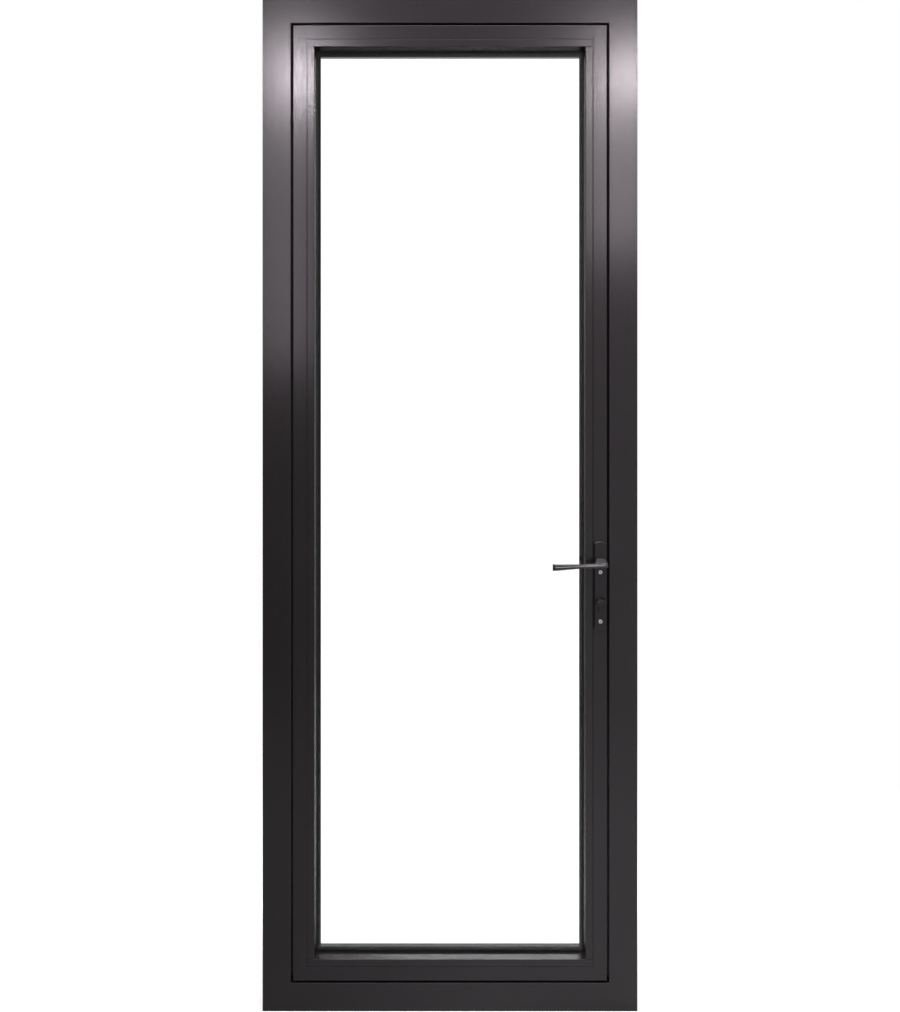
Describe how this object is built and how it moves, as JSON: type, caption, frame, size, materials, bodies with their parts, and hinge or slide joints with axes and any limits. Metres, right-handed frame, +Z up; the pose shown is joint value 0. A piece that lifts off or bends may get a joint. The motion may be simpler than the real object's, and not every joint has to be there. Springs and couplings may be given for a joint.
{
  "type": "entry door with frame",
  "caption": "Full-height glazed aluminium entry door in its mitred frame, opening outwards, with inside lever, fixed outside knob, mortice lock and thumb-turn.",
  "frame": {"origin": "under the frame's sill, at mid-width and at mid-depth of frame and leaf", "axes": "X to the right seen from inside, Y from inside to outside, Z up"},
  "size_m": [0.9, 0.184, 2.44],
  "materials": {
    "coat": "satin",
    "mill": "satin",
    "seal": "matte",
    "pane": "polished",
    "steel": "satin",
    "nylon": "matte",
    "brass": "satin"
  },
  "bodies": {
    "frame": {"frame_head": "coat", "frame_sill": "coat", "frame_hinge_jamb": "coat", "frame_lock_jamb": "coat", "frame_corner_cleats": "mill", "frame_seal": "seal", "strike_plate": "steel", "strike_screws": "steel", "hinge_frame_wing_bottom": "coat", "hinge_frame_wing_middle": "coat", "hinge_frame_wing_top": "coat", "hinge_pin_bottom": "steel", "hinge_pin_middle": "steel", "hinge_pin_top": "steel", "hinge_frame_screws": "steel"},
    "leaf": {"leaf_top_rail": "coat", "leaf_bottom_rail": "coat", "leaf_hinge_stile": "coat", "leaf_lock_stile": "coat", "leaf_corner_cleats": "mill", "inner_pane": "pane", "outer_pane": "pane", "glass_spacer": "mill", "glass_sealant": "seal", "setting_blocks": "nylon", "bead_top": "coat", "bead_bottom": "coat", "bead_hinge_side": "coat", "bead_lock_side": "coat", "inner_gasket": "seal", "outer_gasket": "seal", "hinge_leaf_wing_bottom": "coat", "hinge_leaf_wing_middle": "coat", "hinge_leaf_wing_top": "coat", "hinge_bushes": "nylon", "hinge_leaf_screws": "steel", "lock_case": "steel", "lock_cover": "steel", "lock_forend": "steel", "forend_screws": "steel", "cylinder_body": "brass", "key_plug": "brass", "cylinder_screw": "steel", "inside_backplate": "coat", "outside_backplate": "coat", "backplate_screws": "steel", "lever_bush": "nylon", "return_spring": "steel", "outside_knob": "coat", "knob_nut": "steel", "latch_spring": "steel"},
    "handle": {"inside_lever": "coat", "lever_circlip": "steel", "spindle": "steel", "follower": "steel", "grub_screw": "steel"},
    "latch": {"latch_bolt": "steel"},
    "thumb_turn": {"thumb_turn": "coat", "cylinder_cam": "brass"},
    "deadbolt": {"deadbolt": "steel"}
  },
  "joints": [
    {"name": "leaf_swing", "type": "hinge", "parent": "frame", "child": "leaf", "pos_m": [-0.40125, 0.047, 1.22], "axis": [0, 0, 1], "range_deg": [0, 100]},
    {"name": "handle_turn", "type": "hinge", "parent": "leaf", "child": "handle", "pos_m": [0.36, 0, 1.076], "axis": [0, -1, 0], "range_deg": [0, 40], "stiffness_Nm_per_rad": 1.5, "springref_deg": -28.65, "deforming": ["return_spring"]},
    {"name": "latch_slide", "type": "slide", "parent": "leaf", "child": "latch", "axis": [-1, 0, 0], "range_m": [0, 0.01225], "deforming": ["latch_spring"]},
    {"name": "thumb_turning", "type": "hinge", "parent": "leaf", "child": "thumb_turn", "pos_m": [0.36, 0, 0.984], "axis": [0, 1, 0], "range_deg": [0, 90]},
    {"name": "deadbolt_slide", "type": "slide", "parent": "leaf", "child": "deadbolt", "axis": [1, 0, 0], "range_m": [0, 0.01696]}
  ],
  "couplings": [
    {"joint": "latch_slide", "follows": "handle_turn", "m_per_rad": 0.0175},
    {"joint": "thumb_turning", "follows": "deadbolt_slide", "rad_per_m": 92.59}
  ]
}
